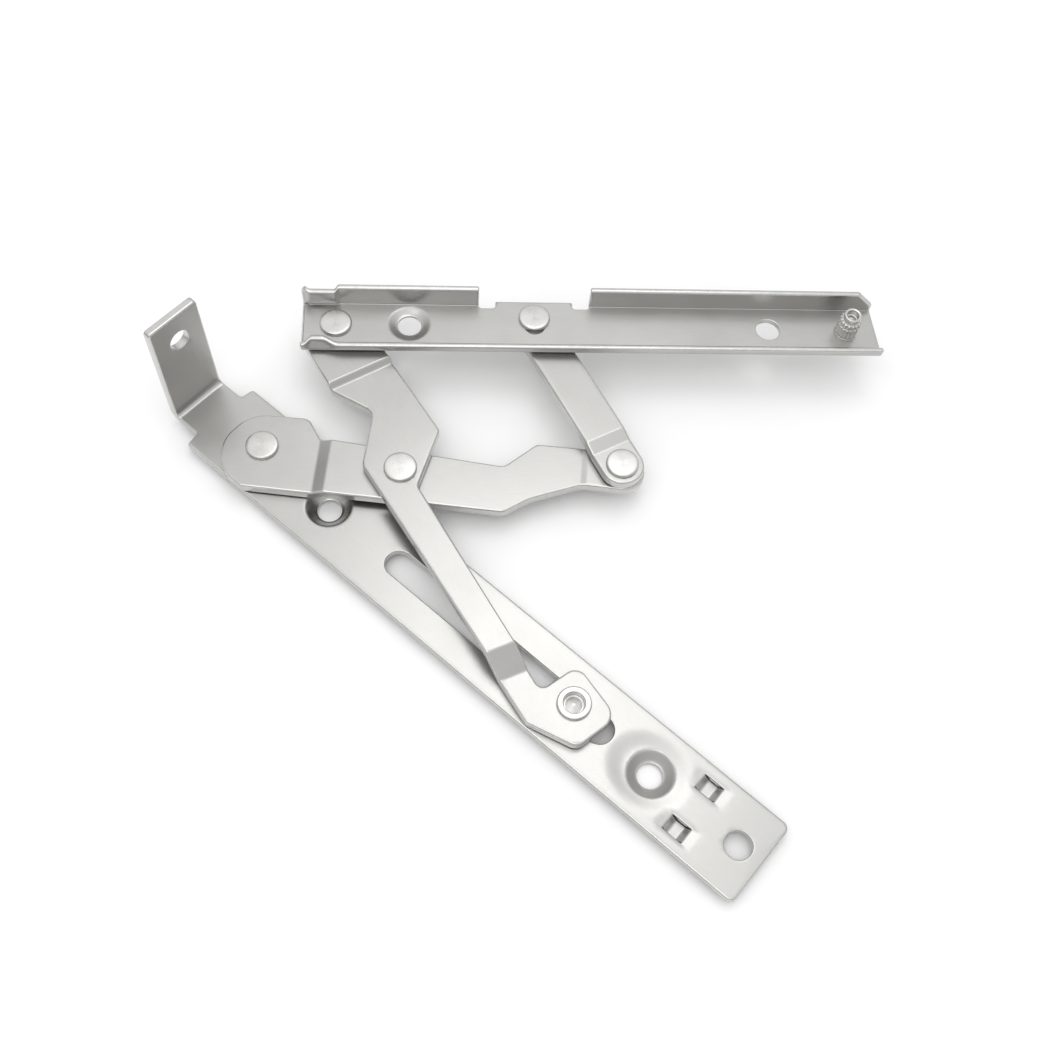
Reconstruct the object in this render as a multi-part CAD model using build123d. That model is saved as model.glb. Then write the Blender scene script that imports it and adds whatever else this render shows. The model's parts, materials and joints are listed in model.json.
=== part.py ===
from build123d import *
import os
from math import atan2, cos, degrees, hypot, radians, sin, tan

# Four-bar friction stay hinge for a 22 mm window groove, sash opened about 42 degrees.
# Millimetres.  Pieces are drawn from the main pivot: X runs along the frame plate to its toe,
# Y points to the side the sash opens to, Z is up from the underside of the frame plate.
# The finished pieces are moved so that the origin is the toe screw hole.

# ---- driving dimensions: pivots in plan, measured from the main pivot ----
MAIN = (0.0, 0.0)             # long arm on the frame plate
GUIDE = (30.7, 16.6)          # guide arm on the long arm
SLIDER = (99.5, 0.0)          # guide arm's sliding rivet in the slot
HEEL = (-8.6, 34.9)           # sash channel on the guide arm
SASH = (26.75, 70.45)         # sash channel on the short link
LINK = (69.65, 53.75)         # short link on the long arm
SASH_ANGLE = 42.5             # direction of the sash channel, degrees from the plate

# ---- frame plate ----
PLATE_WIDTH = 22.0
PLATE_THICK = 2.0
PLATE_HEEL_X = -15.5
PLATE_TOE_X = 152.9
TOE_CORNER = 2.0
NECK_WIDTH = 14.9
TAB_FACE_X = -23.3            # face of the upright tab that looks along the plate
TAB_HEIGHT = 34.0
TAB_BEND = 1.5                # inside radius of the bend
TAB_HOLE_Z = 25.8
TAB_HOLE_R = 2.7
TOE_HOLE_X = 146.5
SCREW_HOLE_R = 3.2
DIMPLE_X = (22.3, 122.2)      # countersunk screw dimples
DIMPLE_HOLE_R = 3.0
DIMPLE_TOP_R = 5.6
DIMPLE_DROP = 1.3             # how far a dimple stands out below the plate
DIMPLE_WALL = 0.9             # straight wall left at the bottom of a dimple
SLOT_X = (45.5, 107.2)        # centres of the slot's round ends
SLOT_HALF = 3.4
SLOT_Y = 0.1
BRIDGE_X = 134.1              # two lanced bridges, pushed down out of the plate
BRIDGE_Y = 6.0
BRIDGE_SIZE = (5.3, 3.9)
BRIDGE_DROP = 1.5
BRIDGE_FLAT = 1.2             # half length of a bridge's flat bottom

# ---- layers, from the underside of the plate ----
BAR = 2.5                     # thickness of the three links
HEAD_LEVEL = 2.4              # long arm's head and the guide arm's foot
ARM_LEVEL = 3.7               # long arm's middle
TAIL_LEVEL = 4.0              # long arm's tail
GUIDE_LEVEL = 6.6             # guide arm's middle
LINK_LEVEL = 6.9              # short link on the long arm
UPPER_LEVEL = 8.0             # both links under the channel
CHANNEL_LEVEL = 10.8
CHANNEL_THICK = 1.5
PLATE_EDGE = 0.35             # rolled edge of the frame plate
JOGGLE_INSIDE = 0.5           # bend radii where a link steps from one level to another
JOGGLE_OUTSIDE = 1.8
LINK_HALF = 5.4               # half width of the short link

# ---- rivets ----
HEAD_R = 4.0
HEAD_THICK = 1.0
HEAD_EDGE = 0.35
SHANK_R = 2.5
TAIL_R = 3.5
SASH_TAIL_R = 4.8             # broad tail that covers the short link's slack hole
RUNNING = 0.05                # radial clearance of a link on its rivet
WASHER_R = 5.0
BUSH_R = 2.3                  # slider bush that runs in the slot
BUSH_BORE = 1.6
SASH_SLACK = 1.4              # extra radius of the short link's hole at the sash rivet
SLIDER_TAIL = -1.4            # underside of the slider rivet's tail
SLIDER_TAIL_R = 3.0
BUSH_FOOT = -0.3              # underside of the bush, where the washer below the plate starts
SLIDER_WASHER_FOOT = -0.8
SLIDER_WASHER_R = 4.6
GLIDE_R = 4.8
GLIDE_GAP = 0.05              # running clearance of the glide over the plate
MOUTH_R = 2.4                 # hollow of the slider rivet's head

# ---- sash channel, lengths from its heel end ----
CHANNEL_LENGTH = 147.0
CHANNEL_FLOOR = 15.7          # over both sides
CHANNEL_NEAR = -7.9           # near side of the channel from the heel rivet's line
HEEL_INSET = 8.3
FLANGE_HEIGHT = 6.0
LIP_HEIGHT = 1.5
CUT_OUT = (44.3, 72.6)
CUT_RELIEF = 4.2
CHANNEL_DIMPLE = 26.7         # countersunk hole
CHANNEL_DIMPLE_R = 5.3
CHANNEL_DIMPLE_WALL = 0.6
CHANNEL_HOLE = 118.8
CHANNEL_HOLE_R = 3.15
STUD_AT = 139.2               # hollow stud with two tiers of ribs
STUD_Y = -0.6
STUD_R = 2.8
STUD_BASE_R = 3.0
STUD_BASE = 0.4
STUD_TIERS = (3.6, 1.7)       # heights of the lower and the upper tier
STUD_GAP = 0.25
STUD_NECK_R = 2.4
STUD_RING_R = 2.2
STUD_RING = 1.3
STUD_BORE = 1.5
STUD_HOLE_R = 2.0
STUD_RIBS = 16
CRIMP_LENGTH = 9.0            # heel ends of both sides are squeezed in over this length
CRIMP_BULGE = 0.3             # how far they stand past the floor's end
FAR_CRIMP = 0.9
NEAR_CRIMP = 1.5


def bend_circle(before, corner, after, radius):
    """Tangent points and middle point of the arc that rounds one corner."""
    ax, ay = before[0] - corner[0], before[1] - corner[1]
    bx, by = after[0] - corner[0], after[1] - corner[1]
    la, lb = hypot(ax, ay), hypot(bx, by)
    ax, ay, bx, by = ax / la, ay / la, bx / lb, by / lb
    half = atan2(abs(ax * by - ay * bx), ax * bx + ay * by) / 2
    reach = radius / tan(half)
    mx, my = ax + bx, ay + by
    scale = (radius / sin(half) - radius) / hypot(mx, my)
    start = (corner[0] + ax * reach, corner[1] + ay * reach)
    end = (corner[0] + bx * reach, corner[1] + by * reach)
    middle = (corner[0] + mx * scale, corner[1] + my * scale)
    return start, middle, end


def rounded(corners):
    """Closed face from (x, y, radius) corners, each rounded by its radius."""
    edges = []
    count = len(corners)
    arcs = [
        bend_circle(corners[i - 1], corners[i], corners[(i + 1) % count], corners[i][2])
        for i in range(count)
    ]
    for i, (start, middle, end) in enumerate(arcs):
        edges.append(ThreePointArc(start, middle, end))
        edges.append(Line(end, arcs[(i + 1) % count][0]))
    return make_face(Wire(edges))


def slab(face, bottom, top):
    """A flat face turned into a plate between two heights."""
    return extrude(Pos(0, 0, bottom) * face, amount=top - bottom, dir=(0, 0, 1))


def disc(radius, bottom, top, at=(0, 0)):
    return Pos(at[0], at[1], (bottom + top) / 2) * Cylinder(radius, top - bottom)


def ribbon(direction, stations, width=120.0):
    """Bent strip of bar stock: its underside passes through (distance, height) stations.

    Distances run along the direction given in degrees; the strip is wide across it.
    """
    lower = list(stations)
    slopes = [
        atan2(b[1] - a[1], b[0] - a[0]) for a, b in zip(lower[:-1], lower[1:])
    ]
    turns = [0.0] + [b - a for a, b in zip(slopes[:-1], slopes[1:])] + [0.0]
    upper = []
    for (x, z), before, after in zip(lower, [slopes[0]] + slopes, slopes + [slopes[-1]]):
        middle = (before + after) / 2
        lift = BAR / cos((after - before) / 2)
        upper.append((x - lift * sin(middle), z + lift * cos(middle)))
    corners = [
        (x, z, 0.05 if turn == 0 else (JOGGLE_OUTSIDE if turn > 0 else JOGGLE_INSIDE))
        for (x, z), turn in zip(lower, turns)
    ]
    corners += [
        (x, z, 0.05 if turn == 0 else (JOGGLE_INSIDE if turn > 0 else JOGGLE_OUTSIDE))
        for (x, z), turn in reversed(list(zip(upper, turns)))
    ]
    profile = rounded(corners)
    strip = extrude(Plane.XZ * profile, amount=width / 2, both=True)
    return Rot(0, 0, direction) * strip


def along(point, direction):
    """Distance of a plan point along a direction in degrees."""
    return point[0] * cos(radians(direction)) + point[1] * sin(radians(direction))


def rolled(part, bottom, top, radius=PLATE_EDGE):
    """Round the rims of a flat piece at two heights."""
    rims = [e for e in part.edges() if abs(e.bounding_box().size.Z) < 1e-4]
    rims = [e for e in rims if min(abs(e.center().Z - bottom), abs(e.center().Z - top)) < 1e-4]
    return fillet(rims, radius)


def write(name, part):
    """Move a finished piece to the toe screw hole's frame and write it."""
    part = Pos(-TOE_HOLE_X, 0, 0) * part
    part.label = name
    export_step(part, f"parts/{name}.step")


# ---- frame plate -----------------------------------------------------------------------------
def frame_plate():
    half = PLATE_WIDTH / 2
    neck = NECK_WIDTH / 2
    bend_x = TAB_FACE_X + TAB_BEND
    blank = rounded([
        (PLATE_TOE_X, -half, TOE_CORNER),
        (PLATE_TOE_X, half, TOE_CORNER),
        (PLATE_HEEL_X, half, 0.8),
        (PLATE_HEEL_X - 0.5, neck, 1.2),
        (bend_x, neck, 0.05),
        (bend_x, -neck, 0.05),
        (PLATE_HEEL_X - 0.5, -neck, 1.2),
        (PLATE_HEEL_X, -half, 0.8),
    ])
    plate = rolled(slab(blank, 0, PLATE_THICK), 0, PLATE_THICK)
    plate += upright_tab(bend_x, neck)
    for x in DIMPLE_X:
        plate = dimpled(plate, x, 0, 0, PLATE_THICK, DIMPLE_DROP, DIMPLE_TOP_R, DIMPLE_WALL)
    plate -= disc(SCREW_HOLE_R, -1, PLATE_THICK + 1, (TOE_HOLE_X, 0))
    plate -= disc(SHANK_R, -1, PLATE_THICK + 1, MAIN)
    slot_length = SLOT_X[1] - SLOT_X[0] + 2 * SLOT_HALF
    slot = SlotOverall(slot_length, 2 * SLOT_HALF)
    plate -= Pos(sum(SLOT_X) / 2, SLOT_Y, 0) * slab(slot, -1, PLATE_THICK + 1)
    for side in (-1, 1):
        plate -= Pos(BRIDGE_X, side * BRIDGE_Y, 1) * Box(*BRIDGE_SIZE, 4)
        plate += Pos(0, side * BRIDGE_Y, 0) * bridge()
    return plate


def upright_tab(bend_x, neck):
    """Tab bent up square from the heel of the plate, with one screw hole."""
    outer = TAB_BEND + PLATE_THICK
    base_z = PLATE_THICK + TAB_BEND
    quarter = Pos(bend_x, 0, base_z) * Rot(90, 0, 0) * Cylinder(outer, 2 * neck)
    quarter -= Pos(bend_x, 0, base_z) * Rot(90, 0, 0) * Cylinder(TAB_BEND, 2 * neck)
    quarter &= Pos(bend_x - outer / 2, 0, base_z - outer / 2) * Box(outer, 2 * neck, outer)
    face = rounded([
        (-neck, base_z, 0.05),
        (neck, base_z, 0.05),
        (neck - 0.2, TAB_HEIGHT, 0.8),
        (-neck + 0.4, TAB_HEIGHT, 0.8),
    ])
    wall = extrude(
        Pos(TAB_FACE_X, 0, 0) * (Plane.YZ * face), amount=PLATE_THICK, dir=(-1, 0, 0))
    hole = Pos(TAB_FACE_X, 0.2, TAB_HOLE_Z) * Rot(0, 90, 0) * Cylinder(TAB_HOLE_R, 8)
    return quarter + wall - hole


def dimpled(plate, x, y, bottom, top, drop, top_r, wall):
    """Press a countersunk screw dimple into a flat plate."""
    profile = make_face(Polyline(
        (0, top), (top_r, top), (DIMPLE_HOLE_R, bottom - drop + wall),
        (DIMPLE_HOLE_R, bottom - drop - 1), (0, bottom - drop - 1), close=True,
    ))
    cup = make_face(Polyline(
        (0, bottom + 0.2), (top_r + 1.3, bottom + 0.2), (top_r + 1.3, bottom),
        (DIMPLE_HOLE_R + 1.5, bottom - drop), (0, bottom - drop), close=True,
    ))
    place = Pos(x, y, 0)
    return plate + place * revolve(Plane.XZ * cup) - place * revolve(Plane.XZ * profile)


def bridge():
    """Strip left in a lanced window, bowed down below the plate."""
    length, width = BRIDGE_SIZE
    half, flat = length / 2, BRIDGE_FLAT
    root = half + 0.2
    strip = make_face(Polyline(
        (-root, PLATE_THICK), (-half, PLATE_THICK), (-flat, PLATE_THICK - BRIDGE_DROP),
        (flat, PLATE_THICK - BRIDGE_DROP), (half, PLATE_THICK), (root, PLATE_THICK),
        (root, 0), (half, 0), (flat + 0.4, -BRIDGE_DROP), (-flat - 0.4, -BRIDGE_DROP),
        (-half, 0), (-root, 0), close=True,
    ))
    return Pos(BRIDGE_X, 0, 0) * extrude(Plane.XZ * strip, amount=(width - 0.5) / 2, both=True)


# ---- links -----------------------------------------------------------------------------------
def long_arm():
    """Stepped arm with a broad head on the main pivot and a narrow tail."""
    outline = rounded([
        (2.5, 13.4, 2.5), (-8.7, 5.0, 9.5), (-8.9, -4.8, 9.5), (-3.2, -11.2, 9.5),
        (3.9, -11.4, 2.0), (56.0, 25.6, 2.5), (58.2, 32.6, 12.0), (65.0, 43.9, 4.0),
        (77.7, 52.7, 5.3), (71.2, 61.7, 5.3), (49.4, 45.6, 2.0), (47.6, 35.3, 3.0),
        (9.1, 10.9, 2.0),
    ])
    bend = 36.5
    first = along((9.5, 10.9), bend)
    second = along((59.6, 52.2), bend)
    strip = ribbon(bend, [
        (-30, HEAD_LEVEL), (first - 0.4, HEAD_LEVEL), (first + 2.5, ARM_LEVEL),
        (second - 0.8, ARM_LEVEL), (second + 0.8, TAIL_LEVEL), (130, TAIL_LEVEL),
    ])
    arm = slab(outline, 0, 20) & strip
    arm -= disc(SHANK_R + RUNNING, 0, 20, MAIN)
    arm -= disc(SHANK_R, 0, 20, GUIDE)
    arm -= disc(SHANK_R, 0, 20, LINK)
    return arm


def guide_arm():
    """Three-level arm: under the channel, over the long arm, and down on to the plate."""
    outline = rounded([
        (HEEL[0] - 4.8, HEEL[1] + 9.0, 5.0), (30.3, 31.0, 1.5), (37.0, 15.9, 2.5),
        (91.7, -2.5, 1.8), (94.2, 7.9, 3.0), (108.9, 4.2, 4.0), (106.6, -7.3, 3.0),
        (94.3, -10.5, 1.5), (23.2, 11.2, 2.5), (14.6, 23.8, 3.0), (2.8, 21.2, 3.0),
        (HEEL[0] - 9.9, HEEL[1] - 6.6, 8.6),
    ])
    upper_bend, lower_bend = -18.1, -25.0
    crease = along((1.9, 21.6), upper_bend)
    foot = along((77.7, -5.0), lower_bend)
    upper = ribbon(upper_bend, [
        (-60, UPPER_LEVEL), (crease - 0.2, UPPER_LEVEL), (crease + 1.1, GUIDE_LEVEL),
        (along((55, 8), upper_bend), GUIDE_LEVEL),
    ])
    lower = ribbon(lower_bend, [
        (along((24, 20), lower_bend), GUIDE_LEVEL), (foot, GUIDE_LEVEL),
        (foot + 6.2, HEAD_LEVEL), (140, HEAD_LEVEL),
    ])
    split = 30.0
    blank = slab(outline, 0, 20)
    arm = (blank & upper & Pos(split - 100, 0, 0) * Box(200, 300, 60))
    arm += (blank & lower & Pos(split + 100, 0, 0) * Box(200, 300, 60))
    arm -= disc(SHANK_R, 0, 20, SLIDER)
    arm -= disc(SHANK_R + RUNNING, 0, 20, GUIDE)
    arm -= disc(SHANK_R + RUNNING, 0, 20, HEEL)
    return arm


def short_link():
    """Straight link with round ends and a slight step under the channel."""
    dx, dy = SASH[0] - LINK[0], SASH[1] - LINK[1]
    length = hypot(dx, dy)
    direction = degrees(atan2(dy, dx))
    half, end = LINK_HALF, LINK_HALF - 0.1
    outline = rounded([
        (-half, -half, end), (length + half, -half, end),
        (length + half, half, end), (-half, half, end),
    ])
    outline = Pos(*LINK) * Rot(0, 0, direction) * outline
    strip = Pos(*LINK) * ribbon(direction, [
        (-20, LINK_LEVEL), (5.3, LINK_LEVEL), (8.7, UPPER_LEVEL), (90, UPPER_LEVEL),
    ])
    link = slab(outline, 0, 20) & strip
    link -= disc(SHANK_R + RUNNING, 0, 20, LINK)
    link -= disc(SHANK_R + SASH_SLACK, 0, 20, SASH)
    return link


# ---- sash channel ----------------------------------------------------------------------------
def sash_channel():
    """Floor with a tall far flange, a low near lip and crimped heel ends."""
    near, far = CHANNEL_NEAR, CHANNEL_NEAR + CHANNEL_FLOOR
    t = CHANNEL_THICK
    bottom, top = CHANNEL_LEVEL, CHANNEL_LEVEL + t
    length = CHANNEL_LENGTH
    floor = slab(make_face(Polyline(
        (0, near + t), (0, far - t), (length - 0.2, far - t), (length + 0.6, near + t), close=True,
    )), bottom, top)
    section = far_section(far, bottom, t)
    flange = Pos(CRIMP_LENGTH, 0, 0) * extrude(
        section, amount=length - 0.2 - CRIMP_LENGTH, dir=(1, 0, 0))
    corner = Pos(length, far - t / 2, bottom + t + FLANGE_HEIGHT) * Rot(0, 38, 0) * Box(6.4, 4, 5)
    flange -= corner
    lip = Pos(CRIMP_LENGTH, 0, 0) * extrude(
        near_section(near, bottom, t), amount=length + 1.0 - CRIMP_LENGTH, dir=(1, 0, 0))
    channel = floor + flange + lip + crimped_ends(near, far, bottom, t)
    start, end = CUT_OUT
    above = Pos((start + end) / 2, far - 0.4, top + 5) * Box(end - start, 2.6 + t, 10)
    channel -= above
    for x in (start + CUT_RELIEF / 2, end - CUT_RELIEF / 2):
        channel -= Pos(x, far, bottom) * Box(CUT_RELIEF, 4.2, 8)
    channel = dimpled(channel, CHANNEL_DIMPLE, 0.3, bottom, top, 0, CHANNEL_DIMPLE_R,
                      CHANNEL_DIMPLE_WALL)
    channel -= disc(CHANNEL_HOLE_R, bottom - 1, top + 1, (CHANNEL_HOLE, -0.2))
    channel -= disc(STUD_HOLE_R, bottom - 1, top + 1, (STUD_AT, STUD_Y))
    channel = Pos(*HEEL) * Rot(0, 0, SASH_ANGLE) * Pos(-HEEL_INSET, 0, 0) * channel
    channel -= disc(SHANK_R, 0, 20, HEEL)
    channel -= disc(SHANK_R, 0, 20, SASH)
    return channel


def far_section(far, bottom, t):
    """Upright flange with a rounded root, as a face across the channel."""
    face = rounded([
        (far - t - 0.8, bottom, 0.05), (far, bottom, 1.2),
        (far, bottom + t + FLANGE_HEIGHT, 0.35), (far - t, bottom + t + FLANGE_HEIGHT, 0.35),
        (far - t, bottom + t, 0.2), (far - t - 0.8, bottom + t, 0.05),
    ])
    return Plane.YZ * face


def near_section(near, bottom, t):
    """Low lip along the near side."""
    face = rounded([
        (near + t + 0.8, bottom, 0.05), (near, bottom, 1.2),
        (near, bottom + t + LIP_HEIGHT, 0.5), (near + t, bottom + t + LIP_HEIGHT, 0.4),
        (near + t, bottom + t, 0.2), (near + t + 0.8, bottom + t, 0.05),
    ])
    return Plane.YZ * face


def crimped_ends(near, far, bottom, t):
    """Heel ends of both sides: the far one stepped in, the near one curled in and raised."""
    start, heel = CRIMP_LENGTH, -CRIMP_BULGE
    far_wall = [
        (start, 0), (start - 1.3, -FAR_CRIMP), (start - 4, -FAR_CRIMP), (0.8, -FAR_CRIMP), (heel, 0.1),
    ]
    near_wall = [
        (start, 0), (start - 2.2, 0.4), (4.2, NEAR_CRIMP), (1.6, 0.7), (heel, 0),
    ]
    pieces = []
    for edge, inward, path, height in (
        (far, -t, far_wall, FLANGE_HEIGHT - 0.9), (near, t, near_wall, LIP_HEIGHT + 0.9),
    ):
        outer = [(x, edge + y) for x, y in path]
        inner = [(x, edge + inward + y) for x, y in path]
        level = ((-1, 0), (-1, 0))
        wall = make_face(Wire([
            Spline(outer, tangents=level),
            Line(outer[-1], inner[-1]),
            Spline(list(reversed(inner)), tangents=((1, 0), (1, 0))),
            Line(inner[0], outer[0]),
        ]))
        pieces.append(slab(wall, bottom, bottom + t + height))
    return pieces[0] + pieces[1]


# ---- rivets, washers and stud ----------------------------------------------------------------
def rivet(at, tail_z, grip_bottom, grip_top, tail_r=TAIL_R):
    """Solid rivet: domed-edge head above, formed tail below."""
    button = disc(HEAD_R, grip_top, grip_top + HEAD_THICK)
    button = fillet(button.edges().filter_by(GeomType.CIRCLE).sort_by(Axis.Z)[-1], HEAD_EDGE)
    shank = disc(SHANK_R, grip_bottom, grip_top)
    tail = disc(tail_r, tail_z, grip_bottom)
    tail = fillet(tail.edges().filter_by(GeomType.CIRCLE).sort_by(Axis.Z)[0], HEAD_EDGE)
    return Pos(at[0], at[1], 0) * (button + shank + tail)


def washer(at, bottom, top, outer=WASHER_R, inner=SHANK_R):
    ring = disc(outer, bottom, top) - disc(inner, bottom - 1, top + 1)
    return Pos(at[0], at[1], 0) * ring


def slider_rivet():
    """Tubular rivet through the guide arm's foot that runs in the slot."""
    foot_top = HEAD_LEVEL + BAR
    head_top = foot_top + 0.9
    ring = disc(HEAD_R, foot_top, head_top)
    ring = fillet(ring.edges().filter_by(GeomType.CIRCLE).sort_by(Axis.Z)[-1], HEAD_EDGE)
    shank = disc(SHANK_R, HEAD_LEVEL, foot_top) + disc(BUSH_BORE, SLIDER_TAIL + 0.6, HEAD_LEVEL)
    tail = disc(SLIDER_TAIL_R, SLIDER_TAIL, SLIDER_TAIL + 0.6)
    mouth = disc(MOUTH_R, foot_top - 1.1, head_top + 1)
    cone = Pos(0, 0, foot_top - 0.7) * Cone(MOUTH_R, 0.3, 0.8)
    return Pos(SLIDER[0], SLIDER[1], 0) * (ring + shank + tail - mouth + cone)


def knurled_stud():
    """Hollow locating stud with two tiers of ribs, pressed into the channel's floor."""
    floor_top = CHANNEL_LEVEL + CHANNEL_THICK
    stud = disc(STUD_HOLE_R, CHANNEL_LEVEL, floor_top)
    stud += disc(STUD_BASE_R, floor_top, floor_top + STUD_BASE)
    foot = floor_top + STUD_BASE
    for height in STUD_TIERS:
        barrel = disc(STUD_R, foot, foot + height - STUD_GAP)
        for turn in range(STUD_RIBS):
            groove = Pos(STUD_R + 0.15, 0, foot + height / 2) * Rot(0, 0, 45) * Box(0.6, 0.6, 5)
            barrel -= Rot(0, 0, turn * 360 / STUD_RIBS) * groove
        stud += barrel + disc(STUD_NECK_R, foot + height - STUD_GAP, foot + height)
        foot += height
    stud += disc(STUD_RING_R, foot, foot + STUD_RING)
    stud -= disc(STUD_BORE, foot - 0.4, foot + STUD_RING + 1)
    turned = Rot(0, 0, SASH_ANGLE)
    return Pos(*HEEL) * turned * Pos(STUD_AT - HEEL_INSET, STUD_Y, 0) * stud


os.makedirs("parts", exist_ok=True)
channel_top = CHANNEL_LEVEL + CHANNEL_THICK
write("frame_plate", frame_plate())
write("long_arm", long_arm())
write("guide_arm", guide_arm())
write("short_link", short_link())
write("sash_channel", sash_channel())
write("main_rivet", rivet(MAIN, -1.2, 0, HEAD_LEVEL + BAR))
write("guide_rivet", rivet(GUIDE, ARM_LEVEL - 1.0, ARM_LEVEL, GUIDE_LEVEL + BAR))
write("link_rivet", rivet(LINK, TAIL_LEVEL - 1.0, TAIL_LEVEL, LINK_LEVEL + BAR))
write("heel_rivet", rivet(HEEL, UPPER_LEVEL - 1.0, UPPER_LEVEL, channel_top))
write("sash_rivet", rivet(SASH, UPPER_LEVEL - 1.0, UPPER_LEVEL, channel_top, SASH_TAIL_R))
write("slider_rivet", slider_rivet())
write("main_washer", washer(MAIN, PLATE_THICK, HEAD_LEVEL))
write("guide_washer", washer(GUIDE, ARM_LEVEL + BAR, GUIDE_LEVEL))
write("link_washer", washer(LINK, TAIL_LEVEL + BAR, LINK_LEVEL))
write("heel_washer", washer(HEEL, UPPER_LEVEL + BAR, CHANNEL_LEVEL))
write("sash_washer", washer(SASH, UPPER_LEVEL + BAR, CHANNEL_LEVEL))
write("slider_bush", washer(SLIDER, BUSH_FOOT, HEAD_LEVEL, BUSH_R, BUSH_BORE))
write("slider_washer", washer(
    SLIDER, SLIDER_WASHER_FOOT, BUSH_FOOT, SLIDER_WASHER_R, BUSH_BORE))
write("slider_glide", washer(SLIDER, PLATE_THICK + GLIDE_GAP, HEAD_LEVEL, GLIDE_R, BUSH_R))
write("knurled_stud", knurled_stud())
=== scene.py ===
import json
import math

import bmesh
import bpy
from mathutils import Matrix, Vector


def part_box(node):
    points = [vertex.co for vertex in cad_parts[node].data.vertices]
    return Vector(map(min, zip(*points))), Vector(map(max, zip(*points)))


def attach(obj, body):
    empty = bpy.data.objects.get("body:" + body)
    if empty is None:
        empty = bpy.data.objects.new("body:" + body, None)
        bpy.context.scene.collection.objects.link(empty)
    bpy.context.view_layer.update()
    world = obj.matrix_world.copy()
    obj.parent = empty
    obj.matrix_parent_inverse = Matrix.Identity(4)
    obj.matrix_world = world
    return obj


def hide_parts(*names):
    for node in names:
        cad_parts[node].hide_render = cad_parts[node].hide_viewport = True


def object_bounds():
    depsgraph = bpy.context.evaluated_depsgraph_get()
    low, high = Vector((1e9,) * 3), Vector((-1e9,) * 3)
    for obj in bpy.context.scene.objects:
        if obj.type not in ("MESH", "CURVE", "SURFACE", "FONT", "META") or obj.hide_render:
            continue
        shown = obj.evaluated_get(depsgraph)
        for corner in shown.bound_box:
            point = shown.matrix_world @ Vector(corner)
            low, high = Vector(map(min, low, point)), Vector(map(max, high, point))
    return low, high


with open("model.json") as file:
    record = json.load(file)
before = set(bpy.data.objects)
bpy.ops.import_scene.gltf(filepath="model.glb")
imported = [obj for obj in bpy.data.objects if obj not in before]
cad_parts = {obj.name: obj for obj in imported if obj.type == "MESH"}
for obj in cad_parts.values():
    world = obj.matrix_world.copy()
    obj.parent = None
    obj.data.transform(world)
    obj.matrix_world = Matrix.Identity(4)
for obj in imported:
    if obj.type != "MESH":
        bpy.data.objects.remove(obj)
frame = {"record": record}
cad_low, cad_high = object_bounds()

MM = 0.001
ORIGIN_X = 146.5               # toe screw hole, from the main pivot
ARC_STEP = 6.0                 # degrees of an outline's arc between two points
ROLL_STEPS = 4                 # facets of one rolled edge
REACH_STEP = 0.35              # spacing of the rings that a sheet gets round a pressed hole
RIM = "rim_burnish_and_painted_highlight"          # 1 on a sheet's rolled edges, 0 on its faces

# ---- pivots in plan, from the main pivot ----
MAIN = (0.0, 0.0)
GUIDE = (30.7, 16.6)
SLIDER = (99.5, 0.0)
HEEL = (-8.6, 34.9)
SASH = (26.75, 70.45)
LINK = (69.65, 53.75)
SASH_ANGLE = 42.5

# ---- levels above the underside of the frame plate ----
BAR = 2.5
HEAD_LEVEL = 2.4
ARM_LEVEL = 3.7
TAIL_LEVEL = 4.0
GUIDE_LEVEL = 6.6
LINK_LEVEL = 6.9
UPPER_LEVEL = 8.0
CHANNEL_LEVEL = 10.8

# ---- frame plate ----
PLATE_THICK = 2.0
PLATE_HALF = 11.0
NECK_HALF = 7.45
PLATE_HEEL_X = -15.5
PLATE_TOE_X = 152.9
TAB_BEND = 1.5                 # inside radius
TAB_FACE_X = -23.3
TAB_TOP = 34.0
TAB_HOLE_Z = 25.8
TAB_HOLE_R = 2.7
TOE_HOLE_R = 3.2
SLOT_X = (45.5, 107.2)         # centres of the slot's round ends
SLOT_HALF = 3.4
SLOT_Y = 0.1
DIMPLE_X = (22.3, 122.2)
DIMPLE_HOLE_R = 3.0
DIMPLE_TOP_R = (5.6, 5.5)
DIMPLE_WALL = 0.9              # straight wall at the bottom of a dimple
DIMPLE_DROP = 1.3
DIMPLE_FLARE = 1.6             # how far past the cone the underside starts to bulge
DIMPLE_REACH = 4.4
DISH_DEPTH = 0.5               # shallow dish pressed round the toe dimple
WINDOW_DIP = 0.16              # the plate's dip beside its lanced windows
BRIDGE_X = 134.1
BRIDGE_Y = (-6.0, 6.0)
BRIDGE_THICK = 1.8
BRIDGE_DROP = 1.5

# ---- sash channel, lengths from its heel end ----
CHANNEL_THICK = 1.5
CHANNEL_LENGTH = 147.0
CHANNEL_NEAR = -7.9
CHANNEL_FLOOR = 15.7
CHANNEL_BEND = 0.2             # inside radius
HEEL_INSET = 8.3
FLANGE_HEIGHT = 6.0
LIP_HEIGHT = 1.5
CUT_OUT = (44.3, 72.6)
CUT_RELIEF = 4.2
CUT_DEPTH = 2.1
CHANNEL_DIMPLE = (26.7, 0.3)
CHANNEL_DIMPLE_R = 5.3
CHANNEL_DIMPLE_WALL = 0.6
CHANNEL_HOLE = (118.8, -0.2)
CHANNEL_HOLE_R = 3.15
FAR_CRIMP = 0.85               # how far the heel ends of both sides are squeezed in
FAR_CRIMP_DROP = 0.75
NEAR_CRIMP = 1.45
NEAR_CRIMP_RISE = 0.7

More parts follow.
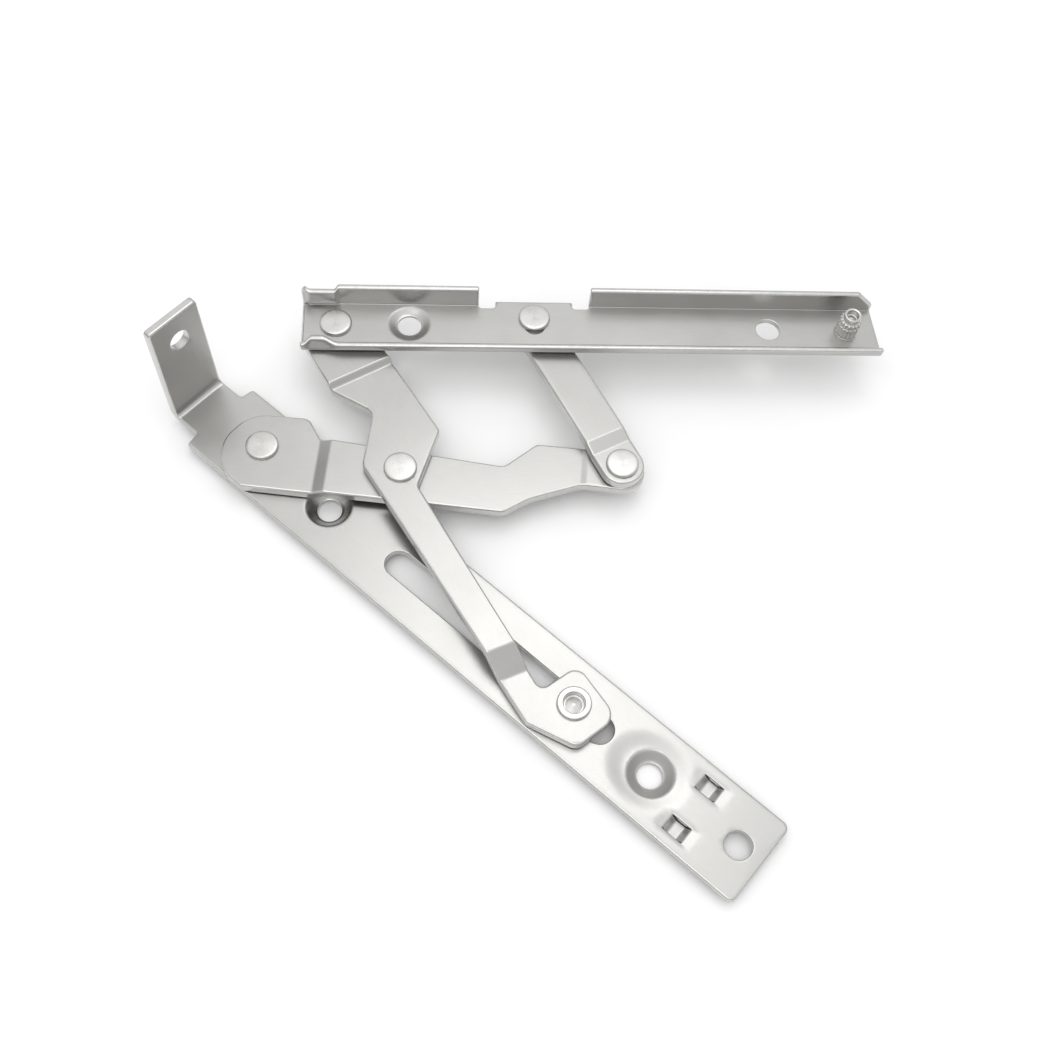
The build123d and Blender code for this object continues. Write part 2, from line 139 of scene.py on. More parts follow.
# ---- rivets, washers and stud ----
SHANK_R = 2.5
RUNNING_R = 2.55               # bore that turns on a rivet
HEAD_R = 4.0
HEAD_THICK = 1.0
TAIL_R = 3.5
TAIL_THICK = 1.0
SASH_TAIL_R = 4.8              # broad tail over the short link's slack hole
SLACK_R = 3.9
WASHER_R = 5.0
LINK_HALF = 5.4
SLIDER_TAIL = -1.4
SLIDER_SHANK_R = 1.6
SLIDER_FOOT = -0.8             # underside of the washer below the slot
BUSH_FOOT = -0.3
BUSH_R = 2.3
STUD_AT = 139.2
STUD_Y = -0.6
STUD_R = 2.8
STUD_BASE = 0.4
STUD_TIERS = (3.6, 1.7)
STUD_RIBS = 16
STUD_GROOVE = 0.1              # depth of a groove, as a share of the stud's radius
STUD_RING = 1.3

# ---- camera, floor and light, in metres ----
CAMERA_PLACE = (-0.0077, -0.0842, 0.2582)
CAMERA_RIGHT = (0.7589, 0.6479, 0.0658)
CAMERA_FORWARD = (-0.2393, 0.3715, -0.8971)
CAMERA_LENS = 40.53
CAMERA_SHIFT = (-0.0078, 0.0342)
KEY_OFFSET = (-0.12, 0.2, 0.75)
KEY_SIZE = 0.34
KEY_POWER = 0.6
RIM_OFFSET = (0.03, -0.3, 0.62)
RIM_SIZE = (0.5, 0.2)
RIM_POWER = 0.5
SKY_TOP = 1.22
SKY_LOW = 0.4
FLOOR_HALF = 12.0
FLOOR_DROP = 0.0001            # the floor lies just under the lowest rivet tail and bridge

# ---- finishes ----
STEEL = (0.485, 0.481, 0.468)
RIVET_STEEL = (0.61, 0.605, 0.586)
NYLON = (0.62, 0.61, 0.56)
FLOOR_WHITE = 0.955


# ---- materials -------------------------------------------------------------------------------
class Graph:
    """Small helper that adds and links shader nodes."""

    def __init__(self, name):
        self.material = bpy.data.materials.new(name)
        self.material.use_nodes = True
        self.tree = self.material.node_tree
        self.shader = self.tree.nodes["Principled BSDF"]

    def add(self, kind, **values):
        node = self.tree.nodes.new(kind)
        for key, value in values.items():
            if key in node.inputs:
                node.inputs[key].default_value = value
            else:
                setattr(node, key, value)
        return node

    def link(self, source, target):
        self.tree.links.new(source, target)


def coordinates(graph, turn=0.0, stretch=(1, 1, 1), at=(0, 0, 0)):
    """Object coordinates in metres, turned about Z so that X runs along a link."""
    source = graph.add("ShaderNodeTexCoord")
    mapping = graph.add("ShaderNodeMapping", vector_type="TEXTURE")
    mapping.inputs["Location"].default_value = at
    mapping.inputs["Rotation"].default_value = (0, 0, math.radians(turn))
    mapping.inputs["Scale"].default_value = stretch
    graph.link(source.outputs["Object"], mapping.inputs["Vector"])
    return mapping.outputs["Vector"]


def noise(graph, vector, scale, detail=3.0, rough=0.55):
    node = graph.add("ShaderNodeTexNoise", Scale=scale, Detail=detail, Roughness=rough)
    graph.link(vector, node.inputs["Vector"])
    return node.outputs["Fac"]


def remap(graph, value, low, high, start=0.3, end=0.7):
    """Stretch a value from start..end to low..high; the defaults suit a noise."""
    node = graph.add("ShaderNodeMapRange")
    node.inputs["From Min"].default_value = start
    node.inputs["From Max"].default_value = end
    node.inputs["To Min"].default_value = low
    node.inputs["To Max"].default_value = high
    graph.link(value, node.inputs["Value"])
    return node.outputs["Result"]


def tint(graph, value, dark, light):
    """Colour between dark and light, as the value goes from 0 to 1."""
    node = graph.add("ShaderNodeMix", data_type="RGBA")
    graph.link(value, node.inputs["Factor"])
    ends = [socket for socket in node.inputs if socket.type == "RGBA"]
    for socket, colour in zip(ends, (dark, light)):
        socket.default_value = (*colour, 1)
    return next(s for s in node.outputs if s.type == "RGBA")


def scaled(colour, factor):
    return tuple(min(1.0, c * factor) for c in colour)


def stamped_steel(name, turn):
    """Tumbled stainless sheet: rolling lines along the piece, satin grain, rims burnished smoother and
    painted brighter as a highlight.
    """
    graph = Graph(name)
    shader = graph.shader
    shader.inputs["Metallic"].default_value = 1.0
    flat = coordinates(graph)
    rolled = coordinates(graph, turn, (0.09, 0.004, 0.004))
    clouds = noise(graph, flat, 45.0, 4.0)
    grain = noise(graph, flat, 2600.0, 2.0, 0.6)
    lines = noise(graph, rolled, 22.0, 3.0, 0.6)
    mixed = graph.add("ShaderNodeMath", operation="ADD")
    graph.link(remap(graph, clouds, 0.0, 0.6), mixed.inputs[0])
    graph.link(remap(graph, lines, 0.0, 0.4), mixed.inputs[1])
    # Rim mask: lowers roughness on the rolled edges for their burnish, and lifts their base colour as a
    # painted highlight.
    rim = graph.add("ShaderNodeAttribute", attribute_name=RIM)
    burnish_plus_painted_highlight = graph.add("ShaderNodeMath", operation="MULTIPLY_ADD")
    graph.link(rim.outputs["Fac"], burnish_plus_painted_highlight.inputs[0])
    graph.link(remap(graph, noise(graph, flat, 500.0, 2.0), 0.9, 1.6), burnish_plus_painted_highlight.inputs[1])
    graph.link(mixed.outputs[0], burnish_plus_painted_highlight.inputs[2])
    colour = tint(graph, burnish_plus_painted_highlight.outputs[0], scaled(STEEL, 0.9), scaled(STEEL, 1.07))
    colour.node.clamp_factor = False
    graph.link(colour, shader.inputs["Base Color"])
    gloss = graph.add("ShaderNodeMath", operation="ADD")
    graph.link(remap(graph, clouds, 0.27, 0.35), gloss.inputs[0])
    graph.link(remap(graph, grain, -0.015, 0.025), gloss.inputs[1])
    polished = graph.add("ShaderNodeMath", operation="MULTIPLY_ADD")
    graph.link(rim.outputs["Fac"], polished.inputs[0])
    polished.inputs[1].default_value = -0.09
    graph.link(gloss.outputs[0], polished.inputs[2])
    graph.link(polished.outputs[0], shader.inputs["Roughness"])
    height = graph.add("ShaderNodeMath", operation="ADD")
    graph.link(remap(graph, grain, 0.0, 0.5, 0.2, 0.8), height.inputs[0])
    graph.link(remap(graph, lines, 0.0, 0.5, 0.2, 0.8), height.inputs[1])
    bump = graph.add("ShaderNodeBump", Strength=0.09, Distance=0.00003)
    graph.link(height.outputs[0], bump.inputs["Height"])
    graph.link(bump.outputs["Normal"], shader.inputs["Normal"])
    return graph.material


def turned_steel(name, centre):
    """Headed rivet or turned stud: fine rings, and a faint two-sided highlight painted into the colour
    about its own axis.
    """
    graph = Graph(name)
    shader = graph.shader
    shader.inputs["Metallic"].default_value = 1.0
    local = coordinates(graph, at=((centre[0] - ORIGIN_X) * MM, centre[1] * MM, 0))
    rings = graph.add("ShaderNodeTexWave", wave_type="RINGS", rings_direction="Z", Scale=900.0)
    rings.inputs["Distortion"].default_value = 1.2
    rings.inputs["Detail"].default_value = 2.0
    graph.link(local, rings.inputs["Vector"])
    grain = noise(graph, local, 420.0, 2.0)
    # Painted highlight: base colour lifted in two opposite wedges round the axis, standing in for a
    # turned face's reflection.
    split = graph.add("ShaderNodeSeparateXYZ")
    graph.link(local, split.inputs["Vector"])
    around = graph.add("ShaderNodeMath", operation="ARCTAN2")
    graph.link(split.outputs["Y"], around.inputs[0])
    graph.link(split.outputs["X"], around.inputs[1])
    doubled = graph.add("ShaderNodeMath", operation="MULTIPLY")
    doubled.inputs[1].default_value = 2.0
    graph.link(around.outputs[0], doubled.inputs[0])
    painted_sheen = graph.add("ShaderNodeMath", operation="SINE")
    graph.link(doubled.outputs[0], painted_sheen.inputs[0])
    mixed = graph.add("ShaderNodeMath", operation="ADD")
    graph.link(remap(graph, painted_sheen.outputs[0], 0.0, 0.55, -1.0, 1.0), mixed.inputs[0])
    graph.link(remap(graph, grain, 0.0, 0.45), mixed.inputs[1])
    colour = tint(graph, mixed.outputs[0], scaled(RIVET_STEEL, 0.88), scaled(RIVET_STEEL, 1.08))
    graph.link(colour, shader.inputs["Base Color"])
    graph.link(remap(graph, grain, 0.25, 0.31), shader.inputs["Roughness"])
    bump = graph.add("ShaderNodeBump", Strength=0.12, Distance=0.00002)
    graph.link(rings.outputs["Fac"], bump.inputs["Height"])
    graph.link(bump.outputs["Normal"], shader.inputs["Normal"])
    return graph.material


def nylon(name):
    """Off-white moulded nylon with a faint grain."""
    graph = Graph(name)
    shader = graph.shader
    flat = coordinates(graph)
    grain = noise(graph, flat, 700.0, 3.0)
    colour = tint(graph, remap(graph, grain, 0, 1), scaled(NYLON, 0.9), scaled(NYLON, 1.05))
    graph.link(colour, shader.inputs["Base Color"])
    graph.link(remap(graph, grain, 0.42, 0.55), shader.inputs["Roughness"])
    bump = graph.add("ShaderNodeBump", Strength=0.2, Distance=0.00004)
    graph.link(grain, bump.inputs["Height"])
    graph.link(bump.outputs["Normal"], shader.inputs["Normal"])
    return graph.material


def floor_paint():
    """Pale matt paint."""
    graph = Graph("studio_floor_paint")
    flat = coordinates(graph)
    speckle = noise(graph, flat, 60.0, 2.0)
    low, high = FLOOR_WHITE - 0.01, FLOOR_WHITE + 0.01
    colour = tint(graph, remap(graph, speckle, 0, 1), (low,) * 3, (high,) * 3)
    graph.link(colour, graph.shader.inputs["Base Color"])
    graph.shader.inputs["Roughness"].default_value = 0.9
    graph.shader.inputs["Specular IOR Level"].default_value = 0.1
    return graph.material


# ---- meshes ----------------------------------------------------------------------------------
# Outlines are in millimetres from the main pivot, X along the frame plate, Z up from its underside.
BODY_OF = {
    node: body for body, nodes in frame["record"]["behaviour"]["bodies"].items() for node in nodes
}


def arc_points(before, corner, after, radius):
    """Points of the arc that rounds one corner."""
    to_before = (Vector(before[:2]) - Vector(corner[:2])).normalized()
    to_after = (Vector(after[:2]) - Vector(corner[:2])).normalized()
    opening = to_before.angle(to_after)
    if opening > math.pi - 0.01:
        return [Vector(corner[:2])]
    reach = radius / math.tan(opening / 2)
    start = Vector(corner[:2]) + to_before * reach
    end = Vector(corner[:2]) + to_after * reach
    centre = Vector(corner[:2]) + (to_before + to_after).normalized() * radius / math.sin(opening / 2)
    sweep = math.pi - opening
    steps = max(2, math.ceil(math.degrees(sweep) / ARC_STEP))
    turn = 1 if (start - centre).cross(end - centre) > 0 else -1
    points = []
    for i in range(steps + 1):
        angle = turn * sweep * i / steps
        spoke = start - centre
        points.append(centre + Vector((
            spoke.x * math.cos(angle) - spoke.y * math.sin(angle),
            spoke.x * math.sin(angle) + spoke.y * math.cos(angle),
        )))
    return points


def outline(corners):
    """Closed loop, anticlockwise, from (x, y, radius) corners."""
    count = len(corners)
    loop = []
    for i, corner in enumerate(corners):
        loop += arc_points(corners[i - 1], corner, corners[(i + 1) % count], corner[2])
    area = sum(a.cross(b) for a, b in zip(loop, loop[1:] + loop[:1]))
    return loop if area > 0 else loop[::-1]


def circle(x, y, radius, count=72):
    """Closed loop, clockwise, for a round hole."""
    return [
        Vector((x + radius * math.cos(-a), y + radius * math.sin(-a)))
        for a in (2 * math.pi * i / count for i in range(count))
    ]


def inset(loop, distance):
    """The loop moved to its left, into the metal."""
    moved = []
    for i, point in enumerate(loop):
        back = (point - loop[i - 1]).normalized()
        ahead = (loop[(i + 1) % len(loop)] - point).normalized()
        left = Vector((-back.y - ahead.y, back.x + ahead.x)).normalized()
        stretch = max(0.4, left.dot(Vector((-back.y, back.x))))
        moved.append(point + left * distance / stretch)
    return moved


def rolled_rim(thick, upper, lower, reach=0.0):
    """Section of a sheet's edge, as (inset, height) from its underside to its top face."""
    rim = []
    for i in range(ROLL_STEPS + 1):
        angle = math.pi / 2 * i / ROLL_STEPS
        rim.append((lower * (1 - math.sin(angle)), lower * (1 - math.cos(angle))))
    for i in range(ROLL_STEPS + 1):
        angle = math.pi / 2 * i / ROLL_STEPS
        rim.append((upper * (1 - math.cos(angle)), thick - upper * (1 - math.sin(angle))))
    steps = math.ceil(reach / REACH_STEP)
    for i in range(1, steps + 1):
        share = i / steps
        rim.insert(0, (lower + (reach - lower) * share, 0.0))
        rim.append((upper + (reach - upper) * share, thick))
    return rim


def sheet(loops, thick, cuts=(), outer=(0.55, 0.2), inner=(0.25, 0.12), reaches=None):
    """Flat sheet with rolled edges. Loops: the outline first, then its holes.

    Outer and inner are the (upper, lower) edge radii of the outline and of the holes. Cuts are
    (point, direction) lines along which the sheet may be bent afterwards. Reaches gives a loop,
    by its index, rings of vertices as far as that into the metal.
    """
    bm = bmesh.new()
    rim = bm.verts.layers.float.new(RIM)
    caps = ([], [])
    for index, loop in enumerate(loops):
        reach = (reaches or {}).get(index, 0.0)
        upper, lower = inner if index else outer
        rings = []
        for step, z in rolled_rim(thick, upper, lower, reach):
            ring = [bm.verts.new((p.x, p.y, z)) for p in inset(loop, step)]
            for vert in ring:
                vert[rim] = 1.0 if 0.0 < z < thick else 0.0
            rings.append(ring)
        for low, high in zip(rings[:-1], rings[1:]):
            for i in range(len(low)):
                j = (i + 1) % len(low)
                bm.faces.new((low[i], low[j], high[j], high[i]))
        for cap, ring in zip(caps, (rings[0], rings[-1])):
            for i, vert in enumerate(ring):
                cap.append(bm.edges.get((vert, ring[(i + 1) % len(ring)])))
    for cap, normal in zip(caps, ((0, 0, -1), (0, 0, 1))):
        bmesh.ops.triangle_fill(bm, edges=cap, use_beauty=True, normal=normal)
    for point, direction in cuts:
        angle = math.radians(direction)
        bmesh.ops.bisect_plane(
            bm, geom=bm.verts[:] + bm.edges[:] + bm.faces[:], dist=1e-4,
            plane_co=(point[0], point[1], 0), plane_no=(math.cos(angle), math.sin(angle), 0))
    bmesh.ops.triangulate(bm, faces=[f for f in bm.faces if len(f.verts) > 4])
    return bm


def form(bm, shape):
    """Bend or press a flat sheet: every vertex goes where the shape function says."""
    for vert in bm.verts:
        vert.co = shape(vert.co.x, vert.co.y, vert.co.z)
    return bm


def crosswise(direction, distances):
    """Cut lines across a direction at the given distances along it."""
    angle = math.radians(direction)
    return [((d * math.cos(angle), d * math.sin(angle)), direction) for d in distances]


def spread(start, end, step):
    """Evenly spaced values from start to end, about a step apart."""
    count = max(1, round((end - start) / step))
    return [start + (end - start) * i / count for i in range(count + 1)]


def eased(value):
    """Smooth rise from 0 to 1 as the value goes from 0 to 1."""
    value = min(1.0, max(0.0, value))
    return value * value * (3 - 2 * value)


def ramp(value, start, end, rounding=0.3):
    """0 before start, 1 after end, straight between them with short rounded ends."""
    share = (value - start) / (end - start)
    soft = min(0.45, rounding / abs(end - start))
    if share <= -soft:
        return 0.0
    if share >= 1 + soft:
        return 1.0
    if share < soft:
        return (share + soft) ** 2 / (4 * soft)
    if share > 1 - soft:
        return 1 - (1 + soft - share) ** 2 / (4 * soft)
    return share


def along(point, direction):
    """Distance of a plan point along a direction in degrees."""
    return point[0] * math.cos(math.radians(direction)) + point[1] * math.sin(math.radians(direction))


def lathe(bm, at, profile, count=96):
    """Turned shape about an upright axis, from (radius, height) points."""
    rings = []
    for radius, z in profile:
        if radius < 1e-6:
            rings.append([bm.verts.new((at[0], at[1], z))])
            continue
        rings.append([
            bm.verts.new((at[0] + radius * math.cos(a), at[1] + radius * math.sin(a), z))
            for a in (2 * math.pi * i / count for i in range(count))
        ])
    for low, high in zip(rings[:-1], rings[1:]):
        for i in range(count):
            j = (i + 1) % count
            corners = [low[i % len(low)], low[j % len(low)], high[j % len(high)], high[i % len(high)]]
            corners = list(dict.fromkeys(corners))
            if len(corners) > 2:
                bm.faces.new(corners)
    return bm


def quarter(radius, z, size, start, end, steps=5):
    """Points of a rounded rim about (radius, z), from one angle to another in degrees."""
    points = []
    for angle in spread(start, end, (end - start) / steps):
        turn = math.radians(angle)
        points.append((radius + size * math.cos(turn), z + size * math.sin(turn)))
    return points


def piece(name, nodes, bm, material, crease=38):
    """Finish a mesh and put it in the place of its CAD node."""
    bmesh.ops.remove_doubles(bm, verts=bm.verts, dist=1e-4)
    bmesh.ops.recalc_face_normals(bm, faces=bm.faces)
    for vert in bm.verts:
        vert.co = Vector((vert.co.x - ORIGIN_X, vert.co.y, vert.co.z)) * MM
    for face in bm.faces:
        face.smooth = True
    mesh = bpy.data.meshes.new(name)
    bm.to_mesh(mesh)
    bm.free()
    made = bpy.data.objects.new(name, mesh)
    bpy.context.scene.collection.objects.link(made)
    mesh.set_sharp_from_angle(angle=math.radians(crease))
    weighted = made.modifiers.new("flat_faces", "WEIGHTED_NORMAL")
    weighted.keep_sharp = True
    weighted.weight = 90
    mesh.materials.append(material)
    for node in nodes:
        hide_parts(node)
    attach(made, BODY_OF[nodes[0]])
    return made


# ---- frame plate -----------------------------------------------------------------------------
def dimple(distance, z, thick, cone_r, wall, drop):
    """Height change of a pressed screw dimple at a distance from its centre."""
    bottom_r = DIMPLE_HOLE_R + 0.3
    share = ramp(cone_r - distance, 0.0, cone_r - bottom_r, 0.35)
    top = -(thick + drop - wall) * share
    under = -drop * eased((cone_r + DIMPLE_FLARE - distance) / 2.9)
    return under + (top - under) * z / thick


def frame_plate_mesh():
    """Plate drawn as a flat blank, then pressed, lanced and bent up at the tab."""
    half, neck, thick = PLATE_HALF, NECK_HALF, PLATE_THICK
    bend_x = TAB_FACE_X + TAB_BEND
    neutral = TAB_BEND + thick / 2
    arc = math.pi / 2 * neutral
    centre_z = thick + TAB_BEND
    heel_x, neck_x = PLATE_HEEL_X, PLATE_HEEL_X - 0.5
    tab_x = bend_x - (arc + TAB_TOP - centre_z)
    hole_x = bend_x - arc - (TAB_HOLE_Z - centre_z)
    blank = outline([
        (PLATE_TOE_X, -half, 1.8), (PLATE_TOE_X, half, 1.8), (heel_x, half, 0.8), (neck_x, neck, 1.0),
        (tab_x, neck - 0.2, 1.0), (tab_x, -neck + 0.4, 1.0), (neck_x, -neck, 1.0), (heel_x, -half, 0.8),
    ])
    slot_low, slot_high = SLOT_Y - SLOT_HALF, SLOT_Y + SLOT_HALF
    slot_start, slot_end, round_end = SLOT_X[0] - SLOT_HALF, SLOT_X[1] + SLOT_HALF, SLOT_HALF - 0.01
    slot = outline([
        (slot_start, slot_low, round_end), (slot_end, slot_low, round_end),
        (slot_end, slot_high, round_end), (slot_start, slot_high, round_end),
    ])[::-1]
    windows = [
        outline([
            (BRIDGE_X - 2.65, y - 1.95, 0.3), (BRIDGE_X + 2.65, y - 1.95, 0.3),
            (BRIDGE_X + 2.65, y + 1.95, 0.3), (BRIDGE_X - 2.65, y + 1.95, 0.3),
        ])[::-1] for y in BRIDGE_Y
    ]
    loops = [
        blank, circle(ORIGIN_X, 0, TOE_HOLE_R), circle(*MAIN, SHANK_R), circle(hole_x, 0.2, TAB_HOLE_R),
        slot, *(circle(at, 0, DIMPLE_HOLE_R) for at in DIMPLE_X), *windows,
    ]
    cuts = crosswise(0, spread(bend_x - arc, bend_x, 0.35))
    cuts += crosswise(0, spread(111.4, 139.4, 0.7)) + crosswise(90, spread(-9.8, 9.8, 0.7))
    bm = sheet(loops, thick, cuts, reaches={5: DIMPLE_REACH, 6: DIMPLE_REACH})

    def shape(x, y, z):
        around = math.hypot((x - DIMPLE_X[1] + 0.8) / 1.15, y)
        lift = -DISH_DEPTH * eased((9.6 - around) / 5.0)
        for at in BRIDGE_Y:
            beside = eased((3.1 - abs(y - at)) / 1.3)
            lift -= WINDOW_DIP * beside * eased((5.4 - abs(x - BRIDGE_X)) / 2.8)
        for at, cone_r in zip(DIMPLE_X, DIMPLE_TOP_R):
            distance = math.hypot(x - at, y)
            if distance < cone_r + DIMPLE_FLARE + 0.1:
                drop = DIMPLE_DROP + min(0.0, lift)
                lift += dimple(distance, z, thick, cone_r, DIMPLE_WALL, drop)
        z += lift
        if x >= bend_x:
            return Vector((x, y, z))
        angle = min(math.pi / 2, (bend_x - x) / neutral)
        radius = centre_z - z
        above = max(0.0, bend_x - x - arc)
        return Vector((
            bend_x - radius * math.sin(angle), y, centre_z - radius * math.cos(angle) + above))

    form(bm, shape)
    for at in BRIDGE_Y:
        lanced_strip(bm, at)
    return bm


def lanced_strip(bm, y):
    """Strip left in a lanced window, pushed down in a flat-bottomed bow."""
    strip = outline([
        (BRIDGE_X - 2.9, y - 1.8, 0.05), (BRIDGE_X + 2.9, y - 1.8, 0.05),
        (BRIDGE_X + 2.9, y + 1.8, 0.05), (BRIDGE_X - 2.9, y + 1.8, 0.05),
    ])
    cuts = crosswise(0, spread(BRIDGE_X - 2.8, BRIDGE_X + 2.8, 0.2))
    part = sheet([strip], BRIDGE_THICK, cuts, (0.1, 0.1))

    def shape(x, across, z):
        bow = 1.0 - ramp(abs(x - BRIDGE_X), 1.3, 2.6, 0.25)
        return Vector((x, across, z + 0.05 - BRIDGE_DROP * bow))

    form(part, shape)
    join(bm, part)


def join(bm, part):
    """Add one mesh to another."""
    spare = bpy.data.meshes.new("spare")
    part.to_mesh(spare)
    part.free()
    bm.from_mesh(spare)
    bpy.data.meshes.remove(spare)


# ---- links -----------------------------------------------------------------------------------
def stepped(direction, steps, base):
    """Shape of a joggled bar: steps are (start, end, rise) along a direction."""
    def shape(x, y, z):
        distance = along((x, y), direction)
        lift = sum(rise * ramp(distance, start, end) for start, end, rise in steps)
        return Vector((x, y, base + lift + z))
    return shape


def step_cuts(direction, steps):
    """Close cuts at both ends of every step, where the bar bends."""
    cuts = []
    for start, end, _ in steps:
        for edge in (start, end):
            cuts += crosswise(direction, spread(edge - 0.34, edge + 0.34, 0.11))
    return cuts


def long_arm_mesh():
    """Stepped arm with a broad head on the main pivot and a narrow tail."""
    corners = [
        (2.5, 13.4, 2.5), (-8.7, 5.0, 9.5), (-8.9, -4.8, 9.5), (-3.2, -11.2, 9.5),
        (3.9, -11.4, 2.0), (56.0, 25.6, 2.5), (58.2, 32.6, 12.0), (65.0, 43.9, 4.0),
        (77.7, 52.7, 5.3), (71.2, 61.7, 5.3), (49.4, 45.6, 2.0), (47.6, 35.3, 3.0),
        (9.1, 10.9, 2.0),
    ]
    bend = 36.5
    first, second = along((9.5, 10.9), bend), along((59.6, 52.2), bend)
    steps = [(first - 0.4, first + 2.5, 1.3), (second - 0.8, second + 0.8, 0.3)]
    loops = [
        outline(corners), circle(*MAIN, RUNNING_R), circle(*GUIDE, SHANK_R), circle(*LINK, SHANK_R),
    ]
    bm = sheet(loops, BAR, step_cuts(bend, steps))
    return form(bm, stepped(bend, steps, HEAD_LEVEL))


def guide_arm_mesh():
    """Three-level arm: under the channel, over the long arm, and down on to the plate."""
    corners = [
        (HEEL[0] - 4.8, HEEL[1] + 9.0, 5.0), (30.3, 31.0, 1.5), (37.0, 15.9, 2.5),
        (91.7, -2.5, 1.8), (94.2, 7.9, 3.0), (108.9, 4.2, 4.0), (106.6, -7.3, 3.0),
        (94.3, -10.5, 1.5), (23.2, 11.2, 2.5), (14.6, 23.8, 3.0), (2.8, 21.2, 3.0),
        (HEEL[0] - 9.9, HEEL[1] - 6.6, 8.6),
    ]
    upper_bend, lower_bend = -18.1, -25.0
    crease, foot = along((1.9, 21.6), upper_bend), along((77.7, -5.0), lower_bend)
    upper_step = [(crease - 0.2, crease + 1.1, GUIDE_LEVEL - UPPER_LEVEL)]
    lower_step = [(foot, foot + 6.2, HEAD_LEVEL - GUIDE_LEVEL)]
    loops = [
        outline(corners), circle(*SLIDER, SHANK_R), circle(*GUIDE, RUNNING_R), circle(*HEEL, RUNNING_R),
    ]
    bm = sheet(loops, BAR, step_cuts(upper_bend, upper_step) + step_cuts(lower_bend, lower_step))
    upper = stepped(upper_bend, upper_step, UPPER_LEVEL)
    lower = stepped(lower_bend, lower_step, 0.0)

    def shape(x, y, z):
        return Vector((x, y, upper(x, y, z).z + lower(x, y, 0.0).z))

    return form(bm, shape)


def short_link_mesh():
    """Straight link with round ends and a slight step under the channel."""
    reach = Vector(SASH) - Vector(LINK)
    direction = math.degrees(math.atan2(reach.y, reach.x))
    side = reach.normalized() * LINK_HALF
    across = Vector((-side.y, side.x))
    near, far = Vector(LINK) - side, Vector(SASH) + side
    corners = (near - across, far - across, far + across, near + across)
    loops = [
        outline([(*corner, LINK_HALF - 0.1) for corner in corners]),
        circle(*LINK, RUNNING_R), circle(*SASH, SLACK_R),
    ]
    start = along(LINK, direction)
    steps = [(start + 5.3, start + 8.7, UPPER_LEVEL - LINK_LEVEL)]
    bm = sheet(loops, BAR, step_cuts(direction, steps))
    return form(bm, stepped(direction, steps, LINK_LEVEL))


# ---- sash channel ----------------------------------------------------------------------------
def sash_channel_mesh():
    """Channel drawn as a flat blank, with its lip and flange bent up and crimped at the heel."""
    thick, inside = CHANNEL_THICK, CHANNEL_BEND
    near, far = CHANNEL_NEAR, CHANNEL_NEAR + CHANNEL_FLOOR
    neutral = inside + thick / 2
    arc = math.pi / 2 * neutral
    near_bend, far_bend = near + thick + inside, far - thick - inside
    lip_v = near_bend - arc - (LIP_HEIGHT - inside)
    top_v = far_bend + arc + (FLANGE_HEIGHT - inside)
    length = CHANNEL_LENGTH
    start, end = CUT_OUT
    notch = far - CUT_DEPTH
    corners = [
        (-0.2, lip_v, 0.5), (length + 1.0, lip_v, 0.5), (length + 0.7, near_bend, 0.2),
        (length - 0.2, far_bend, 0.2), (length - 0.2, top_v - 4.2, 0.8), (length - 4.6, top_v, 0.8),
        (end, top_v, 0.4), (end, notch, 0.9), (end - CUT_RELIEF, notch, 0.9),
        (end - CUT_RELIEF, far, 0.4), (start + CUT_RELIEF, far, 0.4),
        (start + CUT_RELIEF, notch, 0.9), (start, notch, 0.9), (start, top_v, 0.4),
        (-0.2, top_v, 1.2),
    ]
    rivets_apart = math.hypot(SASH[0] - HEEL[0], SASH[1] - HEEL[1])
    loops = [
        outline(corners), circle(*CHANNEL_DIMPLE, DIMPLE_HOLE_R), circle(*CHANNEL_HOLE, CHANNEL_HOLE_R),
        circle(STUD_AT, STUD_Y, 2.0), circle(HEEL_INSET, 0, SHANK_R),
        circle(HEEL_INSET + rivets_apart, 0, SHANK_R),
    ]
    cuts = crosswise(90, spread(near_bend - arc, near_bend, 0.2))
    cuts += crosswise(90, spread(far_bend, far_bend + arc, 0.2))
    cuts += crosswise(90, [far_bend + arc + 1.6, far_bend + arc + 3.2, lip_v + 0.5])
    cuts += crosswise(0, spread(0.2, 10.4, 0.3))
    bm = sheet(loops, thick, cuts, (0.6, 0.5), (0.2, 0.15), {1: 2.7})
    turn = math.radians(SASH_ANGLE)

    def shape(u, v, z):
        distance = math.hypot(u - CHANNEL_DIMPLE[0], v - CHANNEL_DIMPLE[1])
        z += dimple(distance, z, thick, CHANNEL_DIMPLE_R, CHANNEL_DIMPLE_WALL, 0.0)
        y, up = v, z
        flat_part = start + 2 < u < end - 2
        radius = inside + thick - z
        if v > far_bend and not flat_part:
            angle = min(math.pi / 2, (v - far_bend) / neutral)
            above = max(0.0, v - far_bend - arc)
            y = far_bend + radius * math.sin(angle)
            up = thick + inside - radius * math.cos(angle) + above
            squeeze = ramp(u, 0.6, 1.6, 0.4) - ramp(u, 8.2, 9.0, 0.25)
            level = eased((up - 0.4) / 2.6)
            y -= FAR_CRIMP * squeeze * level
            up -= FAR_CRIMP_DROP * squeeze * eased((up - thick) / 4.0)
            up -= 0.9 * level * eased((1.6 - u) / 1.6)
        elif v < near_bend:
            angle = min(math.pi / 2, (near_bend - v) / neutral)
            above = max(0.0, near_bend - v - arc)
            y = near_bend - radius * math.sin(angle)
            up = thick + inside - radius * math.cos(angle) + above
            squeeze = eased((u - 0.4) / 2.4) * (1 - eased((u - 5.0) / 4.2))
            level = eased((up - 0.6) / 1.6)
            y += NEAR_CRIMP * squeeze * level
            up += NEAR_CRIMP_RISE * squeeze * level
        u -= HEEL_INSET
        return Vector((
            HEEL[0] + u * math.cos(turn) - y * math.sin(turn),
            HEEL[1] + u * math.sin(turn) + y * math.cos(turn),
            CHANNEL_LEVEL + up,
        ))

    return form(bm, shape)


